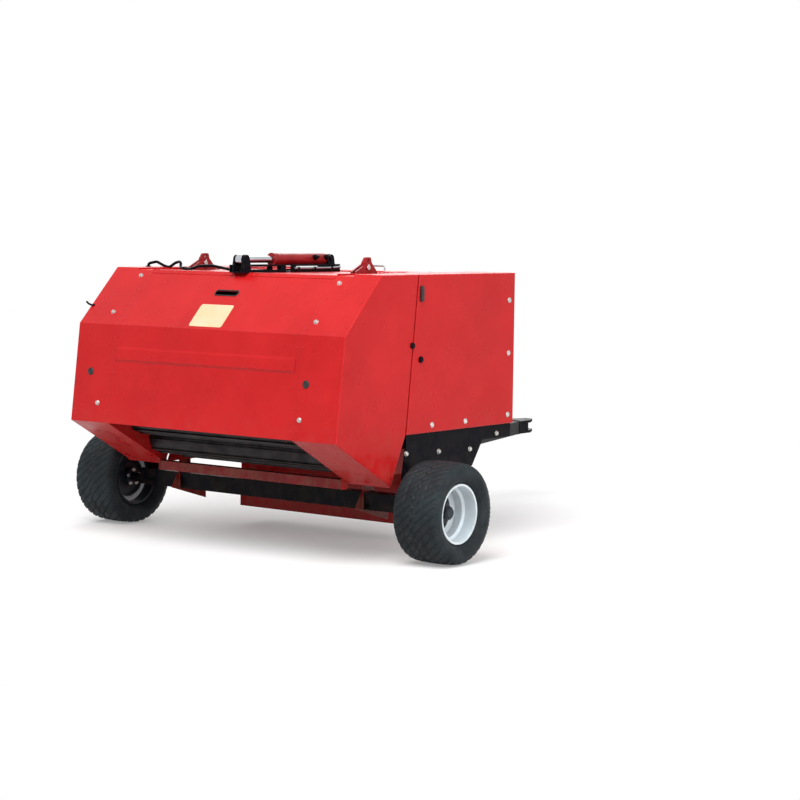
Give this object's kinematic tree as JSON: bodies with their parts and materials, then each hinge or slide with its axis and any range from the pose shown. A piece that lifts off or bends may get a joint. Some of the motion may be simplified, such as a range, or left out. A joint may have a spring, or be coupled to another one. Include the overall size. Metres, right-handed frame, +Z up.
{
  "type": "hay baler",
  "caption": "Towed round hay baler with a ribbed-roller chamber, hinged tailgate, pickup, drawbar and jack.",
  "frame": {"origin": "bottom centre of the bounding box, on the ground on the centre line, midway between the tailgate foot and the hitch nose", "axes": "+X forward to the hitch, +Y to the left, +Z up"},
  "size_m": [3.12, 2.579, 1.5755],
  "materials": {
    "body_red": "glossy red enamel on pressed sheet",
    "frame_black": "black chassis paint, semi-gloss",
    "bracket_red": "red paint on plate and castings",
    "roller_steel": "worn bare steel, polished by crop",
    "rod_chrome": "hard chrome rod",
    "tine_steel": "spring steel tines on painted bars",
    "band_metal": "red painted strip, rubbed bright on the crown",
    "rubber_tyre": "black rubber with a slight bloom",
    "rim_white": "silver-white wheel paint",
    "gearbox_iron": "painted casting",
    "shaft_steel": "machined steel",
    "guard_plastic": "black moulded guard",
    "jack_zinc": "zinc plated tube"
  },
  "bodies": {
    "chassis": {"axle_beam": "frame_black", "axle_brackets": "bracket_red", "side_frames": "frame_black", "front_cross_beam": "frame_black", "drawbar_beams": "frame_black", "hitch_clevis": "frame_black", "jack_tube": "jack_zinc", "chamber_sides": "body_red", "side_cover_left": "body_red", "side_cover_right": "body_red", "front_wrap": "body_red", "hood_top": "body_red", "feed_floor": "body_red", "twine_box": "body_red", "gearbox": "gearbox_iron", "drive_tube": "bracket_red", "pto_guard": "guard_plastic", "hinge_lugs": "bracket_red", "cylinder_base": "frame_black", "latch_keepers": "frame_black"},
    "tailgate": {"gate_sides": "body_red", "gate_cover_left": "body_red", "gate_cover_right": "body_red", "gate_upper_panel": "body_red", "gate_rear_panel": "body_red", "gate_top_panel": "body_red", "gate_crossbar": "bracket_red", "gate_hinge_arms": "bracket_red", "gate_cylinder_ears": "frame_black", "gate_latches": "frame_black"},
    "front_roller_1": {"front_roller_1": "roller_steel"},
    "front_roller_2": {"front_roller_2": "roller_steel"},
    "front_roller_3": {"front_roller_3": "roller_steel"},
    "front_roller_4": {"front_roller_4": "roller_steel"},
    "gate_roller_1": {"gate_roller_1": "roller_steel"},
    "gate_roller_2": {"gate_roller_2": "roller_steel"},
    "gate_roller_3": {"gate_roller_3": "roller_steel"},
    "gate_roller_4": {"gate_roller_4": "roller_steel"},
    "gate_roller_5": {"gate_roller_5": "roller_steel"},
    "gate_roller_6": {"gate_roller_6": "roller_steel"},
    "gate_roller_7": {"gate_roller_7": "roller_steel"},
    "floor_roller": {"floor_roller": "roller_steel"},
    "cylinder_barrel": {"cylinder_barrel": "bracket_red"},
    "cylinder_rod": {"cylinder_rod": "rod_chrome"},
    "pickup": {"pickup_frame": "body_red", "pickup_bands": "band_metal"},
    "pickup_reel": {"pickup_reel": "tine_steel"},
    "wheel_left": {"tyre_left": "rubber_tyre", "rim_left": "rim_white"},
    "wheel_right": {"tyre_right": "rubber_tyre", "rim_right": "rim_white"},
    "pto_shaft": {"pto_shaft": "shaft_steel"},
    "jack_leg": {"jack_leg": "jack_zinc"},
    "twine_box_lid": {"twine_box_lid": "body_red"}
  },
  "joints": [
    {"name": "tailgate_hinge", "type": "hinge", "parent": "chassis", "child": "tailgate", "pos_m": [-0.888, 0, 1.508], "axis": [0, 1, 0], "range_deg": [0, 60]},
    {"name": "cylinder_swing", "type": "hinge", "parent": "chassis", "child": "cylinder_barrel", "pos_m": [-0.505, 0, 1.54], "axis": [0, 1, 0], "range_deg": [0, 27.45]},
    {"name": "cylinder_stroke", "type": "slide", "parent": "cylinder_barrel", "child": "cylinder_rod", "axis": [1, 0, 0], "range_m": [0, 0.1274]},
    {"name": "front_roller_1_spin", "type": "hinge", "parent": "chassis", "child": "front_roller_1", "pos_m": [-0.80254, 0, 1.33188], "axis": [0, 1, 0], "continuous": true},
    {"name": "front_roller_2_spin", "type": "hinge", "parent": "chassis", "child": "front_roller_2", "pos_m": [-0.64886, 0, 1.21311], "axis": [0, 1, 0], "continuous": true},
    {"name": "front_roller_3_spin", "type": "hinge", "parent": "chassis", "child": "front_roller_3", "pos_m": [-0.5622, 0, 1.03929], "axis": [0, 1, 0], "continuous": true},
    {"name": "front_roller_4_spin", "type": "hinge", "parent": "chassis", "child": "front_roller_4", "pos_m": [-0.55982, 0, 0.84507], "axis": [0, 1, 0], "continuous": true},
    {"name": "gate_roller_1_spin", "type": "hinge", "parent": "tailgate", "child": "gate_roller_1", "pos_m": [-0.99259, 0, 1.37193], "axis": [0, 1, 0], "continuous": true},
    {"name": "gate_roller_2_spin", "type": "hinge", "parent": "tailgate", "child": "gate_roller_2", "pos_m": [-1.18113, 0, 1.32527], "axis": [0, 1, 0], "continuous": true},
    {"name": "gate_roller_3_spin", "type": "hinge", "parent": "tailgate", "child": "gate_roller_3", "pos_m": [-1.33057, 0, 1.20121], "axis": [0, 1, 0], "continuous": true},
    {"name": "gate_roller_4_spin", "type": "hinge", "parent": "tailgate", "child": "gate_roller_4", "pos_m": [-1.41111, 0, 1.02447], "axis": [0, 1, 0], "continuous": true},
    {"name": "gate_roller_5_spin", "type": "hinge", "parent": "tailgate", "child": "gate_roller_5", "pos_m": [-1.40671, 0, 0.83029], "axis": [0, 1, 0], "continuous": true},
    {"name": "gate_roller_6_spin", "type": "hinge", "parent": "tailgate", "child": "gate_roller_6", "pos_m": [-1.31823, 0, 0.65739], "axis": [0, 1, 0], "continuous": true},
    {"name": "gate_roller_7_spin", "type": "hinge", "parent": "tailgate", "child": "gate_roller_7", "pos_m": [-1.16332, 0, 0.54023], "axis": [0, 1, 0], "continuous": true},
    {"name": "floor_roller_spin", "type": "hinge", "parent": "chassis", "child": "floor_roller", "pos_m": [-0.97285, 0, 0.50217], "axis": [0, 1, 0], "continuous": true},
    {"name": "pickup_lift", "type": "hinge", "parent": "chassis", "child": "pickup", "pos_m": [-0.475, 0, 0.43], "axis": [0, -1, 0], "range_deg": [0, 15]},
    {"name": "pickup_reel_spin", "type": "hinge", "parent": "pickup", "child": "pickup_reel", "pos_m": [-0.315, 0, 0.27], "axis": [0, 1, 0], "continuous": true},
    {"name": "wheel_left_spin", "type": "hinge", "parent": "chassis", "child": "wheel_left", "pos_m": [-0.944, 1.147, 0.265], "axis": [0, 1, 0], "continuous": true},
    {"name": "wheel_right_spin", "type": "hinge", "parent": "chassis", "child": "wheel_right", "pos_m": [-0.944, -1.147, 0.265], "axis": [0, 1, 0], "continuous": true},
    {"name": "pto_spin", "type": "hinge", "parent": "chassis", "child": "pto_shaft", "pos_m": [-0.12, 0, 0.79], "axis": [1, 0, 0], "continuous": true},
    {"name": "jack_slide", "type": "slide", "parent": "chassis", "child": "jack_leg", "axis": [0, 0, 1], "range_m": [0, 0.31]},
    {"name": "twine_lid_hinge", "type": "hinge", "parent": "chassis", "child": "twine_box_lid", "pos_m": [-0.437, 0, 1.47], "axis": [0, -1, 0], "range_deg": [0, 100]}
  ],
  "couplings": [
    {"joint": "cylinder_swing", "follows": "tailgate_hinge", "ratio": 0.45416},
    {"joint": "cylinder_stroke", "follows": "tailgate_hinge", "m_per_rad": 0.12075},
    {"joint": "front_roller_1_spin", "follows": "front_roller_3_spin", "ratio": 1},
    {"joint": "front_roller_2_spin", "follows": "front_roller_3_spin", "ratio": 1},
    {"joint": "front_roller_4_spin", "follows": "front_roller_3_spin", "ratio": 1},
    {"joint": "gate_roller_1_spin", "follows": "front_roller_3_spin", "ratio": 1},
    {"joint": "gate_roller_2_spin", "follows": "front_roller_3_spin", "ratio": 1},
    {"joint": "gate_roller_3_spin", "follows": "front_roller_3_spin", "ratio": 1},
    {"joint": "gate_roller_4_spin", "follows": "front_roller_3_spin", "ratio": 1},
    {"joint": "gate_roller_5_spin", "follows": "front_roller_3_spin", "ratio": 1},
    {"joint": "gate_roller_6_spin", "follows": "front_roller_3_spin", "ratio": 1},
    {"joint": "gate_roller_7_spin", "follows": "front_roller_3_spin", "ratio": 1},
    {"joint": "floor_roller_spin", "follows": "front_roller_3_spin", "ratio": 1},
    {"joint": "pickup_reel_spin", "follows": "front_roller_3_spin", "ratio": -0.6},
    {"joint": "pto_spin", "follows": "front_roller_3_spin", "ratio": 2.5}
  ]
}
